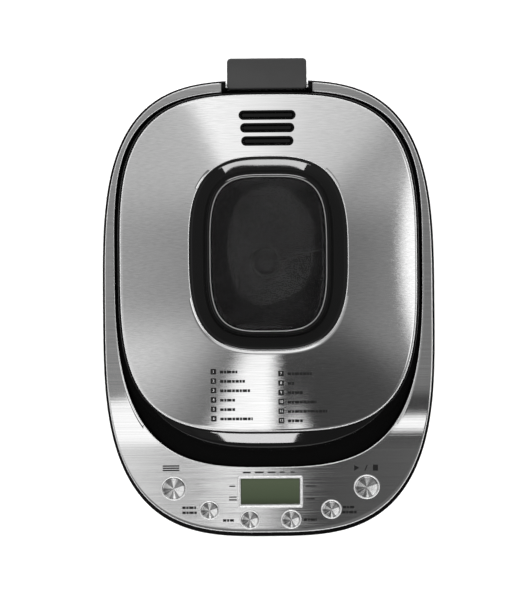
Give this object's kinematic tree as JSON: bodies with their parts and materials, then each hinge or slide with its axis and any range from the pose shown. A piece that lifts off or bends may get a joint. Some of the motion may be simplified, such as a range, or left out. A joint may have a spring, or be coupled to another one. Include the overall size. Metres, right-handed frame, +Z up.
{
  "type": "bread machine",
  "caption": "Upright bread machine with a domed hinged lid, a viewing window, a sloping control panel, and a lift-out pan with a belt-driven kneading paddle.",
  "frame": {"origin": "middle of the overall box, on the surface that the feet stand on", "axes": "+Z up, +Y to the rear (the hinge side), +X to the right seen from the front"},
  "size_m": [0.25, 0.363, 0.2807],
  "materials": {
    "housing": "moulded, fine texture",
    "deck": "polished",
    "steel": "brushed left to right",
    "gloss_black": "polished",
    "hinge_plastic": "fine texture",
    "glass": "clear, heat resistant",
    "gasket": "matte silicone",
    "liner": "satin",
    "zinc": "bright zinc plate",
    "button_metal": "spun in rings",
    "silver": "satin silver",
    "display_glass": "clear window over a green display",
    "display": "grey-green display",
    "board": "solder resist",
    "black_part": "moulded",
    "rubber": "matte",
    "chamber": "aluminised sheet",
    "heater": "oxidised tube",
    "ceramic": "unglazed",
    "pan_coat": "non-stick coating with fine specks",
    "pan_metal": "cast and machined",
    "bright_steel": "bright drawn",
    "bronze": "sintered",
    "belt": "moulded teeth",
    "drive_plastic": "glass filled",
    "laminations": "stacked sheet",
    "wire": "insulated wire"
  },
  "bodies": {
    "housing": {"base_tray": "housing", "rubber_feet": "rubber", "body_shell": "housing", "top_deck": "deck", "steel_fascia": "steel", "deck_screws": "zinc", "hinge_pin": "bright_steel", "button_rings": "silver", "display_bezel": "silver", "display_lens": "display_glass", "display_module": "display", "control_board": "board", "tact_switches": "black_part", "chassis_plate": "zinc", "chassis_screws": "zinc", "oven_chamber": "chamber", "chamber_spacers": "ceramic", "heating_element": "heater", "heater_insulators": "ceramic", "heater_supports": "zinc", "temperature_sensor": "bright_steel", "thermal_fuse": "bright_steel", "pan_holder": "pan_metal", "pan_clips": "bright_steel", "bearing_housing": "pan_metal", "shaft_bushes": "bronze", "drive_belt": "belt", "motor_frame": "zinc", "motor_stator": "laminations", "power_board": "board", "wiring": "wire", "cord_gland": "black_part"},
    "lid": {"lid_cover": "steel", "lid_frame": "gloss_black", "window_bezel": "gloss_black", "window_glass_outer": "glass", "window_glass_inner": "glass", "window_gasket": "gasket", "lid_vent_insert": "gloss_black", "lid_liner": "liner", "lid_screws": "zinc", "hinge_cover": "hinge_plastic"},
    "menu_key": {"button_menu": "button_metal"},
    "start_key": {"button_start": "button_metal"},
    "size_key": {"button_size": "button_metal"},
    "colour_key": {"button_colour": "button_metal"},
    "time_down_key": {"button_time_down": "button_metal"},
    "time_up_key": {"button_time_up": "button_metal"},
    "pan": {"bread_pan": "pan_coat", "pan_base": "pan_metal", "pan_bush": "bronze", "pan_ears": "bright_steel"},
    "handle": {"pan_handle": "bright_steel"},
    "paddle": {"paddle_shaft": "bright_steel", "kneading_paddle": "pan_coat"},
    "drive": {"drive_shaft": "bright_steel", "drive_coupler": "pan_metal", "drive_pulley": "drive_plastic"},
    "motor": {"motor_rotor": "bright_steel", "motor_fan": "drive_plastic"}
  },
  "joints": [
    {"name": "lid_hinge", "type": "hinge", "parent": "housing", "child": "lid", "pos_m": [0, 0.1595, 0.26], "axis": [-1, 0, 0], "range_deg": [0, 95]},
    {"name": "menu_press", "type": "slide", "parent": "housing", "child": "menu_key", "axis": [0, 0.2924, -0.9563], "range_m": [0, 0.0012], "stiffness_N_per_m": 400, "springref_m": -0.001},
    {"name": "start_press", "type": "slide", "parent": "housing", "child": "start_key", "axis": [0, 0.2924, -0.9563], "range_m": [0, 0.0012], "stiffness_N_per_m": 400, "springref_m": -0.001},
    {"name": "size_press", "type": "slide", "parent": "housing", "child": "size_key", "axis": [0, 0.2924, -0.9563], "range_m": [0, 0.0012], "stiffness_N_per_m": 400, "springref_m": -0.001},
    {"name": "colour_press", "type": "slide", "parent": "housing", "child": "colour_key", "axis": [0, 0.2924, -0.9563], "range_m": [0, 0.0012], "stiffness_N_per_m": 400, "springref_m": -0.001},
    {"name": "time_down_press", "type": "slide", "parent": "housing", "child": "time_down_key", "axis": [0, 0.2924, -0.9563], "range_m": [0, 0.0012], "stiffness_N_per_m": 400, "springref_m": -0.001},
    {"name": "time_up_press", "type": "slide", "parent": "housing", "child": "time_up_key", "axis": [0, 0.2924, -0.9563], "range_m": [0, 0.0012], "stiffness_N_per_m": 400, "springref_m": -0.001},
    {"name": "pan_lift", "type": "slide", "parent": "housing", "child": "pan", "axis": [0, 0, 1], "range_m": [0, 0.006]},
    {"name": "handle_swing", "type": "hinge", "parent": "pan", "child": "handle", "pos_m": [0, 0.0315, 0.23], "axis": [-1, 0, 0], "range_deg": [0, 10]},
    {"name": "paddle_spin", "type": "hinge", "parent": "pan", "child": "paddle", "pos_m": [0, 0.0315, 0.08], "axis": [0, 0, 1], "continuous": true},
    {"name": "drive_spin", "type": "hinge", "parent": "housing", "child": "drive", "pos_m": [0, 0.0315, 0.05], "axis": [0, 0, 1], "continuous": true},
    {"name": "motor_spin", "type": "hinge", "parent": "housing", "child": "motor", "pos_m": [0, -0.1205, 0.08], "axis": [0, 0, 1], "continuous": true}
  ],
  "couplings": [
    {"joint": "drive_spin", "follows": "motor_spin", "ratio": 0.125},
    {"joint": "paddle_spin", "follows": "motor_spin", "ratio": 0.125}
  ]
}
